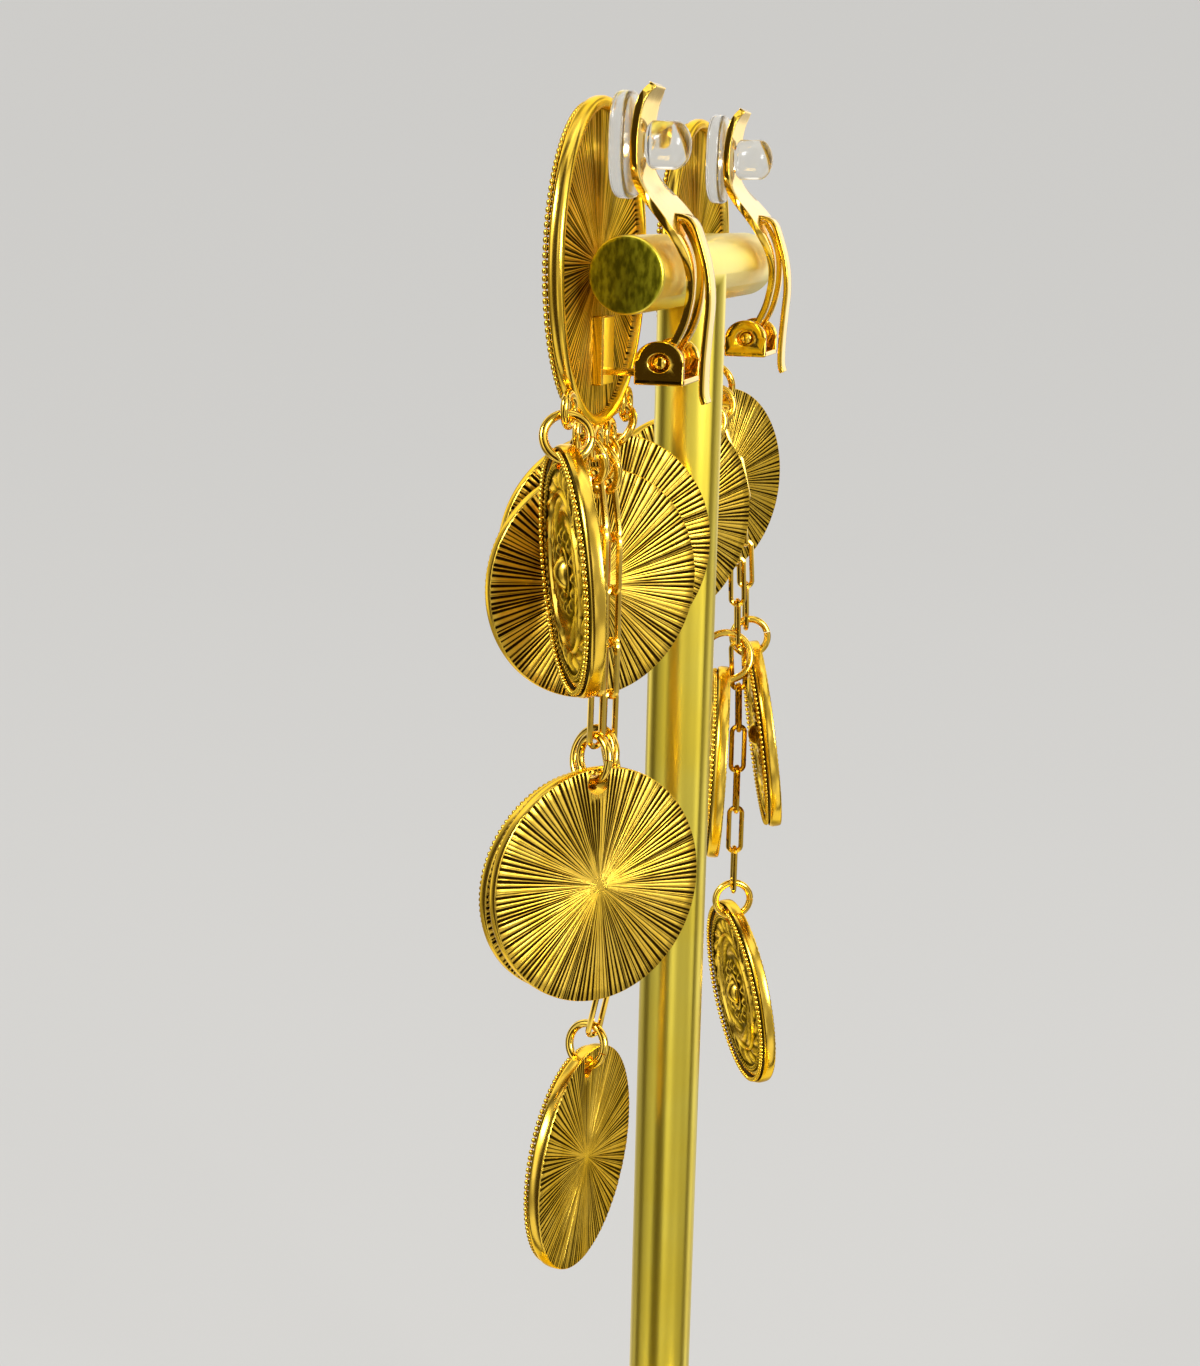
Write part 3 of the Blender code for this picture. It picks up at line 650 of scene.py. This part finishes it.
for side, x in EARRING_X.items():
    blade = strip(LEVER, lever_columns, 1.3)
    slot_faces = [f for f in blade.faces if abs(f.calc_center_median().x) < SLOT
                  and f.calc_center_median().z < SLOT_TOP]
    bmesh.ops.delete(blade, geom=slot_faces, context="FACES")
    tongue = strip(TONGUE, lambda half: [-half, -0.4 * half, 0.4 * half, half], 0.0)
    drill = cylinder(STEM_HOLE, 6 * MM, 32,
                     Matrix.Translation((0, 0, PAD_RISE)) @ Matrix.Rotation(math.pi / 2, 4, "X"))
    parts = [boolean(thickened(blade, SHEET, 0.17 * MM), drill, "DIFFERENCE")]
    parts.append(thickened(tongue, TONGUE_SHEET, 0.13 * MM))
    for shell in parts:
        placed(shell, Matrix.Translation((0, 0, BAR_HEIGHT)))
    along_x = Matrix.Rotation(math.pi / 2, 4, "Y")
    for middle in KNUCKLE_PLACES:
        knuckle = cylinder(KNUCKLE_RADIUS, 0.86 * MM, 32,
                           Matrix.Translation((middle, PIVOT_Y, PIVOT_Z)) @ along_x)
        parts.append(broken(knuckle, rims_across(knuckle, 0), 0.1 * MM))
    pin_profile = [(0.0, PIN_REACH), (0.62 * PIN_RADIUS, PIN_REACH - 0.02 * MM)]
    pin_profile.append((PIN_RADIUS, PIN_REACH - 0.2 * MM))
    pin_profile += [(radius, -height) for radius, height in reversed(pin_profile)]
    parts.append(placed(turned(pin_profile, 32), Matrix.Translation((0, PIVOT_Y, PIVOT_Z)) @ along_x))
    whole = placed(gathered(parts), Matrix.Translation((x, 0, 0)))
    piece(side + "_spring_lever", whole, polished_gold, side + "_lever",
          [side + "_clip_lever"], BEND_ANGLE, True)

# The comfort pads
# Soft clear silicone, moulded in one: a rounded pad in front of the lever, a stem through its hole and a
# domed knob behind that stops it pulling out.
PAD_HEIGHT = 8.2 * MM
PAD_WIDTH = 7.4 * MM
PAD_THICKNESS = 1.3 * MM
KNOB_RADIUS = 1.85 * MM
KNOB_LENGTH = 3.3 * MM
KNOB_DOME = 1.3 * MM
PAD_SQUARENESS = 0.72
PAD_GAP = 0.3 * MM
CLEAR_TINT = (1.0, 0.985, 0.94, 1.0)
CLEAR_CLOUD = (0.98, 0.96, 0.89, 1.0)

clear_silicone, shader, tone = start_finish("clear_silicone")
place = tone.node("ShaderNodeTexCoord", {}, output="Object")
cloud = tone.noise(place, 420.0)
feed(shader, Base_Color=cloud.mixed(CLEAR_TINT, CLEAR_CLOUD), Roughness=0.08 + 0.12 * cloud)
shader.inputs["Transmission Weight"].default_value = 1.0
shader.inputs["IOR"].default_value = 1.38

sheet_front = LEVER[3][0] * MM - SHEET / 2
for side, x in EARRING_X.items():
    slab = bmesh.new()
    bmesh.ops.create_circle(slab, cap_ends=True, segments=64, radius=1.0)
    for vert in slab.verts:
        turn = math.atan2(vert.co.y, vert.co.x)
        vert.co.x = math.copysign(abs(math.cos(turn)) ** PAD_SQUARENESS, math.cos(turn)) * PAD_WIDTH / 2
        vert.co.y = math.copysign(abs(math.sin(turn)) ** PAD_SQUARENESS, math.sin(turn)) * PAD_HEIGHT / 2
    drawn_out(slab, PAD_THICKNESS)
    broken(slab, sheet_rims(slab), 0.42 * MM, 4)
    slab_back = sheet_front - PAD_GAP
    facing_back = Matrix.Rotation(-math.pi / 2, 4, "X")
    placed(slab, Matrix.Translation((0, slab_back - PAD_THICKNESS, 0)) @ facing_back)
    knob_front = sheet_front + SHEET + PAD_GAP
    stem = slab_back - knob_front - PAD_THICKNESS / 2
    profile = [(0.0, KNOB_LENGTH)]
    for step in range(1, 9):
        turn = math.pi / 2 * step / 8
        profile.append((KNOB_RADIUS * math.sin(turn), KNOB_LENGTH - KNOB_DOME * (1 - math.cos(turn))))
    profile += [(KNOB_RADIUS, 0.25 * MM), (KNOB_RADIUS - 0.2 * MM, 0.0), (STEM_RADIUS + 0.1 * MM, 0.0)]
    profile += [(STEM_RADIUS, -0.1 * MM), (STEM_RADIUS, stem), (0.0, stem)]
    knob = placed(turned(profile, 64), Matrix.Translation((0, knob_front, 0)) @ facing_back)
    pad = placed(boolean(slab, knob, "UNION"), Matrix.Translation((x, 0, BAR_HEIGHT + PAD_RISE)))
    piece(side + "_clear_pad", pad, clear_silicone, side + "_lever",
          [side + "_comfort_pad"], 1.0)

# The drops and chains
# Round brass wire jump rings, closed butt to butt, hang the discs from the eyes and from the chains.
# The chains are long paperclip links, each turned a quarter from the last.
RING_RADIUS = 1.88 * MM
LARGE_RING_RADIUS = 2.5 * MM
RING_WIRE = 0.32 * MM
HANG_GAP = 0.28 * MM
LINK_GAP = 0.12 * MM
LINK_RADIUS = 0.70 * MM
LINK_WIRE = 0.19 * MM
LINK_PITCH = 4.40 * MM
LINK_BITE = 0.13 * MM
RING_SWELL = 0.045 * MM
LINK_SWELL = 0.07 * MM
RING_SLIT = 0.05
SLOPE_LIMIT = 13.0
HOLE_DROP = 0.18 * MM
SHARED_JOINT = 5
DANGLE = {
    "right": {
        "upper_outer": (117.0, 4.0, 1.5, 0.2, 110.0),
        "upper_middle": (44.0, 0.0, 0.1, -1.4, 60.0),
        "upper_inner": (39.0, 0.0, 1.4, -1.2, 56.0),
        "lower_long": (50.0, -2.0, 0.1, -2.4, 58.0),
        "lower_short": (48.0, 4.0, 0.6, 0.0, 54.0),
        "bottom": (82.0, 0.0, 0.6, -0.9, 70.0),
    },
    "left": {
        "upper_outer": (62.0, 0.0, -1.2, 0.3, 66.0),
        "upper_middle": (70.0, 0.0, 1.1, -1.1, 70.0),
        "upper_inner": (55.0, 0.0, 1.3, 0.0, 58.0),
        "lower_long": (103.0, -2.0, 2.1, -1.7, 108.0),
        "lower_short": (106.0, 8.0, 0.0, 1.0, 108.0),
        "bottom": (118.0, 8.0, 0.0, 0.0, 114.0),
    },
}
CHAIN_BOW = {
    "right": ((-17.0, -2.2), (-19.0, -1.9), (-33.0, -1.9), (-39.5, -2.0), (-44.0, -0.9), (-58.0, -1.4),
              (-66.0, -3.1)),
    "left": ((-17.0, -2.0), (-21.0, 0.2), (-30.0, 1.0), (-39.0, 1.3), (-44.0, 1.7), (-66.0, 1.8)),
}
CHAIN_TURN = {"right": 60.0, "left": 110.0}
CHAIN_SWING = {"right": 1.3 * MM, "left": 1.7 * MM}


def ring_on(name, node, hook, azimuth, swing_x, swing_y, radius=RING_RADIUS):
    """A jump ring over the wire at hook; returns the point of its wire that the next piece hangs from."""
    half = radius * RING_SHRINK
    down = Vector((swing_x, swing_y, -math.sqrt(4 * half ** 2 - swing_x ** 2 - swing_y ** 2))).normalized()
    a = math.radians(azimuth)
    along = Vector((math.cos(a), math.sin(a), 0.0))
    along = (along - down * along.dot(down)).normalized()
    centre = hook + down * half
    turn = Matrix((along, down, along.cross(down))).transposed().to_4x4()
    loop = wire_loop((radius + half) / 2, RING_WIRE + RING_SWELL, 56, 14, RING_SLIT)
    place = Matrix.Translation(centre) @ turn
    piece(name, placed(loop, place), polished_gold, STAND_BODY, [node])
    to_lowest = math.atan2(-along.z, -down.z)
    settle = math.copysign(max(abs(to_lowest) - math.radians(SLOPE_LIMIT), 0.0), to_lowest)
    return centre + (down * math.cos(settle) + along * math.sin(settle)) * half


def bow(side, height):
    """The chains' y at a height."""
    below = (height - BAR_HEIGHT) / MM
    table = CHAIN_BOW[side]
    for (z0, y0), (z1, y1) in zip(table, table[1:]):
        if below >= z1:
            break
    share = min(max((below - z0) / (z1 - z0), 0.0), 1.0)
    return (y0 + (y1 - y0) * share) * MM


def chain_on(side, chain, hook, azimuth, count):
    """The long links of a chain, hung over the wire at hook; returns the joints between them."""
    end = LINK_WIRE - LINK_BITE / 2
    wire = LINK_WIRE + LINK_SWELL
    joints = [hook + Vector((0, 0, RING_WIRE + LINK_WIRE + LINK_GAP - end))]
    links = []
    for number in range(count):
        start = joints[-1]
        z = start.z - LINK_PITCH
        reach = Vector((start.x, bow(side, z), z)) - start
        foot = start + reach.normalized() * LINK_PITCH
        link = wire_loop(LINK_RADIUS * 0.95, wire, 20, 8)
        placed(link, Matrix.Rotation(math.pi / 20, 4, "Z"))
        for vert in link.verts:
            vert.co.y += math.copysign(LINK_PITCH / 2 + wire * 0.8 - LINK_RADIUS * 0.95, vert.co.y)
        lean = Vector((0, 0, -1)).rotation_difference(reach).to_matrix().to_4x4()
        turn = upright(Vector(), azimuth + 90.0 * (number % 2))
        links.append(placed(link, Matrix.Translation((start + foot) / 2) @ lean @ turn))
        joints.append(foot)
    piece(side + "_" + chain + "_links", gathered(links), polished_gold, STAND_BODY,
          [side + "_" + chain])
    return joints


def on_wire(low_point, wire):
    """The middle of the wire of a ring that hangs on another wire's low point."""
    return low_point + Vector((0, 0, wire + RING_WIRE + HANG_GAP))


def hang_disc(side, drop, hook):
    """A jump ring over the wire at hook, and the disc that hangs in it."""
    azimuth, lean, swing_x, swing_y, ring_turn = DANGLE[side][drop]
    name = side + "_" + drop
    radius = LARGE_RING_RADIUS if drop == "lower_long" else RING_RADIUS
    low = ring_on(name + "_jump_ring", name + "_ring", hook, ring_turn, swing_x * MM, swing_y * MM, radius)
    place = upright(low - Vector((0, 0, HOLE_DROP)), azimuth, lean)
    place = place @ Matrix.Translation((0, -HOLE_PLACE, -DISC_THICKNESS / 2))
    cast_piece(name + "_casting", small_cast, place, name + "_disc")


for side in EARRING_X:
    eye_low = Vector((0, 0, -EYE_RADIUS))
    for drop in ("upper_outer", "upper_middle", "upper_inner"):
        hang_disc(side, drop, on_wire(eye_centre(side, drop) + eye_low, EYE_WIRE))
    link_end = Vector((0, 0, LINK_BITE / 2 - LINK_WIRE))
    for chain, count, drop in (("short_chain", 5, "lower_short"), ("long_chain", 11, "bottom")):
        hook = on_wire(eye_centre(side, chain) + eye_low, EYE_WIRE)
        name = side + "_" + chain
        low = ring_on(name + "_jump_ring", name + "_ring", hook, CHAIN_TURN[side], 0.0, CHAIN_SWING[side])
        joints = chain_on(side, chain, low, CHAIN_TURN[side], count)
        hang_disc(side, drop, on_wire(joints[-1] + link_end, LINK_WIRE))
    hang_disc(side, "lower_long", on_wire(joints[SHARED_JOINT] - link_end, LINK_WIRE))

# The studio
# A plain pale sweep under and around the stand, soft boxes, and a sky of soft light and dark patches
# for the polished gold to mirror. The camera stands where the photograph was taken.
SWEEP_FLOOR = 0.5
SWEEP_BEND = 0.9
SWEEP_TOP = 1.6
SWEEP_DIFFUSE = (0.105, 0.103, 0.10, 1.0), (0.115, 0.113, 0.11, 1.0)
SWEEP_GLOW = (0.535, 0.530, 0.515, 1.0)
SKY_DARK = (0.045, 0.03, 0.01, 1.0)
SKY_LIGHT = (1.38, 1.35, 1.30, 1.0)
DARK_STRIPS = ((-0.20, 0.27), (1.95, 0.14), (-1.5, 0.16))
STRIP_EDGE = 0.16
LAMPS = (("key", (0.30, -0.30, 0.42), (0, 0, 0.11), 0.16, 1.8),
         ("side", (0.22, 0.42, 0.26), (0, 0, 0.10), 0.20, 2.2),
         ("top", (0.02, 0.05, 0.60), (0, 0, 0.10), 0.30, 0.3))
CAMERA_PLACE = (0.1648, 0.0371, BAR_HEIGHT + 0.0044)
YAW = 0.265
PITCH = 0.243
ROLL = -0.02
FOCAL_PIXELS = 1887.0
FRAME_HEIGHT = 1366.0

pale, shader, tone = start_finish("pale_sweep")
place = tone.node("ShaderNodeTexCoord", {}, output="Object")
feed(shader, Base_Color=tone.noise(place, 5.0).mixed(*SWEEP_DIFFUSE))
shader.inputs["Roughness"].default_value = 0.9
shader.inputs["Specular IOR Level"].default_value = 0.1
shader.inputs["Emission Color"].default_value = SWEEP_GLOW
shader.inputs["Emission Strength"].default_value = 1.0
sweep_profile = [(0.0, 0.0), (SWEEP_FLOOR, 0.0)]
for step in range(1, 13):
    turn = math.pi / 2 * step / 12
    sweep_profile.append((SWEEP_FLOOR + SWEEP_BEND * math.sin(turn), SWEEP_BEND * (1 - math.cos(turn))))
sweep_profile.append((SWEEP_FLOOR + SWEEP_BEND, SWEEP_TOP))
sweep_shell = turned(sweep_profile, 96)
bmesh.ops.recalc_face_normals(sweep_shell, faces=sweep_shell.faces)
sweep_mesh = stored("sweep", sweep_shell)
sweep_mesh.materials.append(pale)
sweep_mesh.shade_smooth()
sweep = added("sweep", sweep_mesh)
sweep.visible_glossy = False
sweep.visible_diffuse = False
sweep.visible_shadow = False

sky = bpy.data.worlds.new("studio_sky")
bpy.context.scene.world = sky
sky.use_nodes = True
tone = Tone(sky.node_tree)
toward = tone.node("ShaderNodeTexCoord", {}, output="Generated")
patches = tone.noise(toward, 1.9, 1.0).between(0.40, 0.56)
east, north, height = (tone.node("ShaderNodeSeparateXYZ", {0: toward}, output=axis) for axis in "XYZ")
bearing = tone.sum_of("ARCTAN2", north, east)
overhead = 0.75 + 0.25 * height.between(-0.6, 0.4) - 0.35 * height.between(0.75, 0.95)
light = (0.3 + 0.7 * patches) * overhead
for middle, half in DARK_STRIPS:
    light = light * tone.sum_of("ABSOLUTE", bearing - middle).between(half, half + STRIP_EDGE)
colour = light.mixed(SKY_DARK, SKY_LIGHT)
ground = sky.node_tree.nodes["Background"]
sky.node_tree.links.new(colour.socket, ground.inputs["Color"])
ground.inputs["Strength"].default_value = 1.0

for name, place, aim, size, power in LAMPS:
    lamp = bpy.data.lights.new(name, "AREA")
    lamp.size = size
    lamp.energy = power
    holder = added(name, lamp)
    holder.location = place
    holder.rotation_euler = (Vector(aim) - Vector(place)).to_track_quat("-Z", "Y").to_euler()

ahead = Vector((-math.cos(YAW) * math.cos(PITCH), -math.sin(YAW) * math.cos(PITCH), -math.sin(PITCH)))
level = Vector((-math.sin(YAW), math.cos(YAW), 0.0))
under = ahead.cross(level)
rightwards = math.cos(ROLL) * level + math.sin(ROLL) * under
downwards = math.cos(ROLL) * under - math.sin(ROLL) * level
lens = bpy.data.cameras.new("camera")
lens.sensor_fit = "VERTICAL"
lens.sensor_height = 24.0
lens.lens = FOCAL_PIXELS / FRAME_HEIGHT * lens.sensor_height
lens.clip_start = 0.005
camera = added("camera", lens)
facing = Matrix((rightwards, -downwards, -ahead)).transposed().to_4x4()
camera.matrix_world = Matrix.Translation(CAMERA_PLACE) @ facing
bpy.context.scene.camera = camera
bpy.context.scene.view_settings.view_transform = "Standard"
